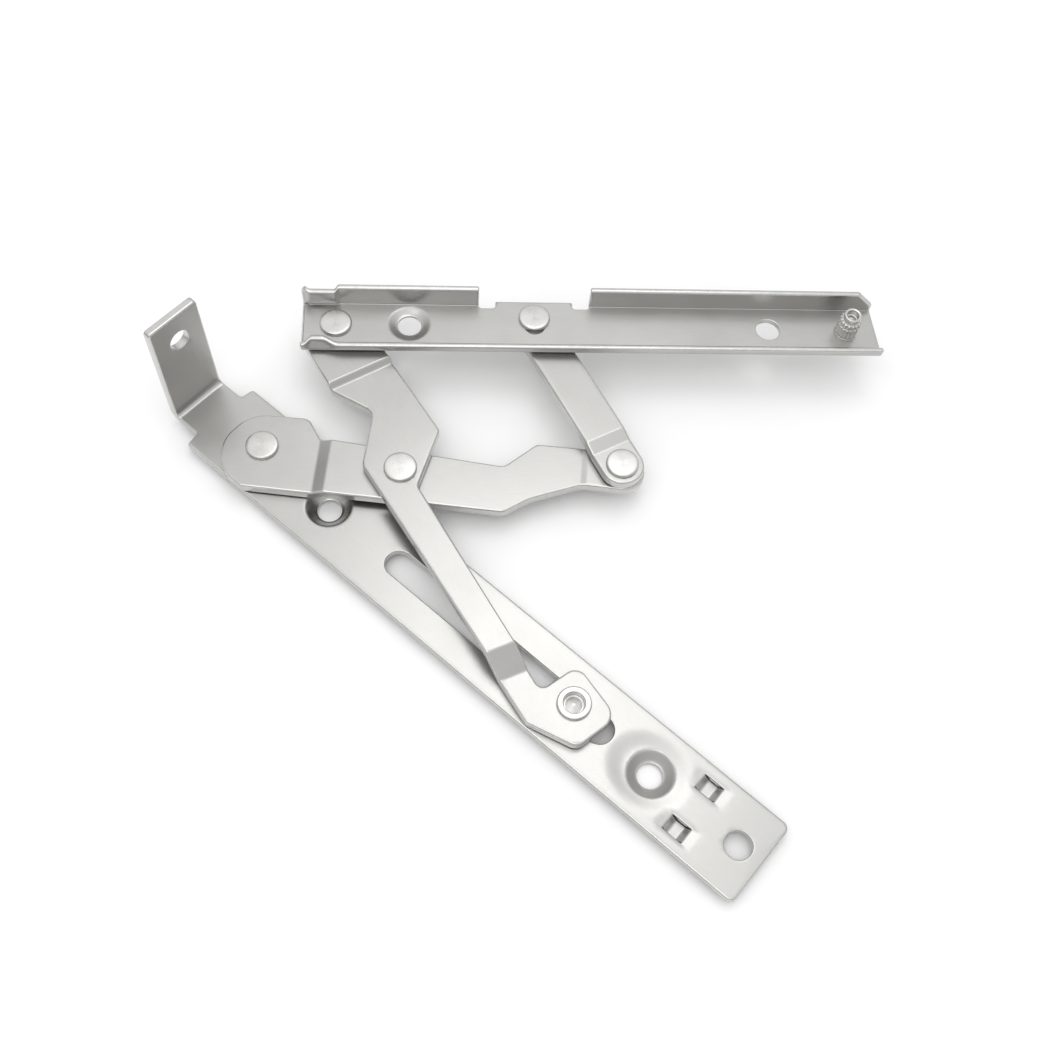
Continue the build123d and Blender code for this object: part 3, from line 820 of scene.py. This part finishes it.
# ---- rivets, washers and stud ----------------------------------------------------------------
def rivet_mesh(at, tail_z, grip_bottom, grip_top, tail_r=TAIL_R):
    """Solid rivet with a soft-edged head and a formed tail."""
    head = grip_top + HEAD_THICK
    profile = [(0, tail_z), (tail_r - 0.6, tail_z)]
    profile += quarter(tail_r - 0.4, tail_z + 0.4, 0.4, -90, 0)
    profile += [(tail_r, grip_bottom), (SHANK_R, grip_bottom), (SHANK_R, grip_top)]
    profile += [(HEAD_R - 0.1, grip_top), (HEAD_R, grip_top + 0.12)]
    profile += quarter(3.5, head - 0.58, 0.5, 0, 80)
    profile += [(3.2, head - 0.06), (2.4, head - 0.025), (1.2, head - 0.005), (0, head)]
    return lathe(bmesh.new(), at, profile)


def slider_rivet_mesh():
    """Tubular rivet through the guide arm's foot, with its tail below the slot."""
    top = HEAD_LEVEL + BAR
    head = top + 0.9
    profile = [(0, SLIDER_TAIL), (2.7, SLIDER_TAIL)]
    profile += quarter(2.75, SLIDER_TAIL + 0.25, 0.25, -90, 0) + [(3.0, SLIDER_FOOT)]
    profile += [(SLIDER_SHANK_R, SLIDER_FOOT), (SLIDER_SHANK_R, HEAD_LEVEL), (SHANK_R, HEAD_LEVEL)]
    profile += [(SHANK_R, top), (HEAD_R - 0.1, top), (HEAD_R, top + 0.1)]
    profile += quarter(3.6, head - 0.4, 0.4, 0, 90)
    profile += quarter(2.75, head - 0.25, 0.25, 90, 180) + [(2.45, top - 0.3), (2.4, top - 1.0)]
    profile += [(2.2, top - 1.1), (1.9, top - 1.05), (0.5, top - 0.62), (0.0, top - 0.56)]
    return lathe(bmesh.new(), SLIDER, profile)


def ring_mesh(at, bottom, top, outer=WASHER_R, inner=SHANK_R, edge=0.06):
    """Flat ring with slightly broken edges."""
    profile = [
        (inner, bottom + edge), (inner + edge, bottom), (outer - edge, bottom), (outer, bottom + edge),
        (outer, top - edge), (outer - edge, top), (inner + edge, top), (inner, top - edge),
        (inner, bottom + edge),
    ]
    return lathe(bmesh.new(), at, profile)


def knurled_stud_mesh():
    """Turned stud with two tiers of upright ribs under a plain hollow ring."""
    turn = math.radians(SASH_ANGLE)
    u = STUD_AT - HEEL_INSET
    at = (HEEL[0] + u * math.cos(turn) - STUD_Y * math.sin(turn),
          HEEL[1] + u * math.sin(turn) + STUD_Y * math.cos(turn))
    floor = CHANNEL_LEVEL + CHANNEL_THICK
    foot = floor + STUD_BASE
    neck = foot + sum(STUD_TIERS)
    profile = [(0, CHANNEL_LEVEL), (1.8, CHANNEL_LEVEL), (2.0, CHANNEL_LEVEL + 0.2), (2.0, floor)]
    profile += [(2.9, floor), (3.0, floor + 0.1), (3.0, floor + 0.3), (2.9, foot)]
    for height in STUD_TIERS:
        end = foot + height
        profile += [(2.4, foot + 0.02), (2.65, foot + 0.06), (STUD_R, foot + 0.2)]
        profile += [(STUD_R, foot + 0.5), (STUD_R, end - 0.7), (STUD_R, end - 0.45)]
        profile += [(2.6, end - 0.3), (2.4, end - 0.26), (2.38, end - 0.05)]
        foot = end
    ring = neck + STUD_RING
    profile += [(2.1, neck), (2.2, neck + 0.1), (2.2, ring - 0.3)]
    profile += quarter(1.95, ring - 0.25, 0.25, 0, 90) + [(1.75, ring), (1.55, ring - 0.12)]
    profile += [(1.5, neck + 0.9), (1.5, neck - 0.3), (1.2, neck - 0.45), (0.5, neck - 0.2)]
    profile += [(0, neck - 0.1)]
    bm = lathe(bmesh.new(), at, profile, STUD_RIBS * 12)
    low, high = floor + STUD_BASE + 0.01, neck - 0.05
    for vert in bm.verts:
        spoke = Vector((vert.co.x - at[0], vert.co.y - at[1]))
        if low < vert.co.z < high and spoke.length > 2.55:
            wave = math.cos(math.atan2(spoke.y, spoke.x) * STUD_RIBS)
            spoke *= 1 - STUD_GROOVE * eased(0.3 - 0.9 * wave)
            vert.co.x, vert.co.y = at[0] + spoke.x, at[1] + spoke.y
    return bm


def build_pieces():
    """One finished piece in the place of every CAD node."""
    channel_top = CHANNEL_LEVEL + CHANNEL_THICK
    bars = {
        "frame_plate": (frame_plate_mesh, 0.0), "long_arm": (long_arm_mesh, 38.0),
        "guide_arm": (guide_arm_mesh, -18.0), "short_link": (short_link_mesh, 158.7),
        "sash_channel": (sash_channel_mesh, SASH_ANGLE),
    }
    for node, (build, turn) in bars.items():
        piece(f"{node}_stamped", [node], build(), stamped_steel(f"{node}_satin", turn))
    rivets = {
        "main_rivet": (MAIN, -1.2, 0.0, HEAD_LEVEL + BAR),
        "guide_rivet": (GUIDE, ARM_LEVEL - TAIL_THICK, ARM_LEVEL, GUIDE_LEVEL + BAR),
        "link_rivet": (LINK, TAIL_LEVEL - TAIL_THICK, TAIL_LEVEL, LINK_LEVEL + BAR),
        "heel_rivet": (HEEL, UPPER_LEVEL - TAIL_THICK, UPPER_LEVEL, channel_top),
        "sash_rivet": (SASH, UPPER_LEVEL - TAIL_THICK, UPPER_LEVEL, channel_top, SASH_TAIL_R),
    }
    for node, values in rivets.items():
        piece(f"{node}_headed", [node], rivet_mesh(*values), turned_steel(f"{node}_turned", values[0]))
    piece("slider_rivet_tubular", ["slider_rivet"], slider_rivet_mesh(),
          turned_steel("slider_rivet_turned", SLIDER))
    low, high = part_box("knurled_stud")
    middle = ((low[0] + high[0]) / 2 / MM + ORIGIN_X, (low[1] + high[1]) / 2 / MM)
    piece("knurled_stud_turned", ["knurled_stud"], knurled_stud_mesh(),
          turned_steel("knurled_stud_bright", middle))
    rings = {
        "main_washer": (MAIN, PLATE_THICK, HEAD_LEVEL),
        "guide_washer": (GUIDE, ARM_LEVEL + BAR, GUIDE_LEVEL),
        "link_washer": (LINK, TAIL_LEVEL + BAR, LINK_LEVEL),
        "heel_washer": (HEEL, UPPER_LEVEL + BAR, CHANNEL_LEVEL),
        "sash_washer": (SASH, UPPER_LEVEL + BAR, CHANNEL_LEVEL),
        "slider_bush": (SLIDER, BUSH_FOOT, HEAD_LEVEL, BUSH_R, SLIDER_SHANK_R),
        "slider_glide": (SLIDER, PLATE_THICK + 0.05, HEAD_LEVEL, 4.8, BUSH_R),
    }
    white = nylon("washer_nylon")
    for node, values in rings.items():
        piece(f"{node}_moulded", [node], ring_mesh(*values), white)
    pressed = ring_mesh(SLIDER, SLIDER_FOOT, BUSH_FOOT, 4.6, SLIDER_SHANK_R)
    piece("slider_washer_pressed", ["slider_washer"], pressed,
          turned_steel("slider_washer_turned", SLIDER))


# ---- studio ----------------------------------------------------------------------------------
def build_camera():
    """Camera above the near side, looking down on the opened hinge."""
    data = bpy.data.cameras.new("studio_camera")
    data.lens = CAMERA_LENS
    data.sensor_width = 36.0
    data.shift_x, data.shift_y = CAMERA_SHIFT
    data.clip_start, data.clip_end = 0.01, 20.0
    camera = bpy.data.objects.new("studio_camera", data)
    bpy.context.scene.collection.objects.link(camera)
    right = Vector(CAMERA_RIGHT).normalized()
    back = -Vector(CAMERA_FORWARD).normalized()
    up = back.cross(right).normalized()
    right = up.cross(back).normalized()
    camera.matrix_world = Matrix((
        (right.x, up.x, back.x, CAMERA_PLACE[0]),
        (right.y, up.y, back.y, CAMERA_PLACE[1]),
        (right.z, up.z, back.z, CAMERA_PLACE[2]),
        (0, 0, 0, 1),
    ))
    bpy.context.scene.camera = camera


def soft_box(name, place, target, size, power):
    """Rectangular area light aimed at a point."""
    data = bpy.data.lights.new(name, "AREA")
    data.shape = "RECTANGLE"
    data.size, data.size_y = size
    data.energy = power
    lamp = bpy.data.objects.new(name, data)
    bpy.context.scene.collection.objects.link(lamp)
    lamp.location = place
    aim = Vector(target) - Vector(place)
    lamp.rotation_mode = "QUATERNION"
    lamp.rotation_quaternion = aim.to_track_quat("-Z", "Y")


def studio_sky():
    """Plain studio surround, brighter overhead than at the horizon."""
    world = bpy.data.worlds.new("studio_sky")
    world.use_nodes = True
    tree = world.node_tree
    source = tree.nodes.new("ShaderNodeTexCoord")
    split = tree.nodes.new("ShaderNodeSeparateXYZ")
    shade = tree.nodes.new("ShaderNodeMapRange")
    shade.inputs["From Min"].default_value = 0.0
    shade.inputs["From Max"].default_value = 1.0
    shade.inputs["To Min"].default_value = SKY_LOW
    shade.inputs["To Max"].default_value = SKY_TOP
    tree.links.new(source.outputs["Generated"], split.inputs["Vector"])
    tree.links.new(split.outputs["Z"], shade.inputs["Value"])
    tree.links.new(shade.outputs["Result"], tree.nodes["Background"].inputs["Strength"])
    tree.nodes["Background"].inputs["Color"].default_value = (1, 1, 1, 1)
    return world


def build_studio():
    """Pale floor, a soft key box, a strip that lights the rims, and the surround."""
    half, z = FLOOR_HALF, cad_low[2] - FLOOR_DROP
    mesh = bpy.data.meshes.new("studio_floor")
    corners = [(-half, -half, z), (half, -half, z), (half, half, z), (-half, half, z)]
    mesh.from_pydata(corners, [], [(0, 1, 2, 3)])
    mesh.materials.append(floor_paint())
    floor = bpy.data.objects.new("studio_floor", mesh)
    bpy.context.scene.collection.objects.link(floor)
    centre = (cad_low + cad_high) / 2
    soft_box("key_box", centre + Vector(KEY_OFFSET), centre, (KEY_SIZE, KEY_SIZE), KEY_POWER)
    soft_box("rim_box", centre + Vector(RIM_OFFSET), centre, RIM_SIZE, RIM_POWER)
    bpy.context.scene.world = studio_sky()
    bpy.context.scene.view_settings.view_transform = "Standard"


build_camera()
build_studio()
build_pieces()
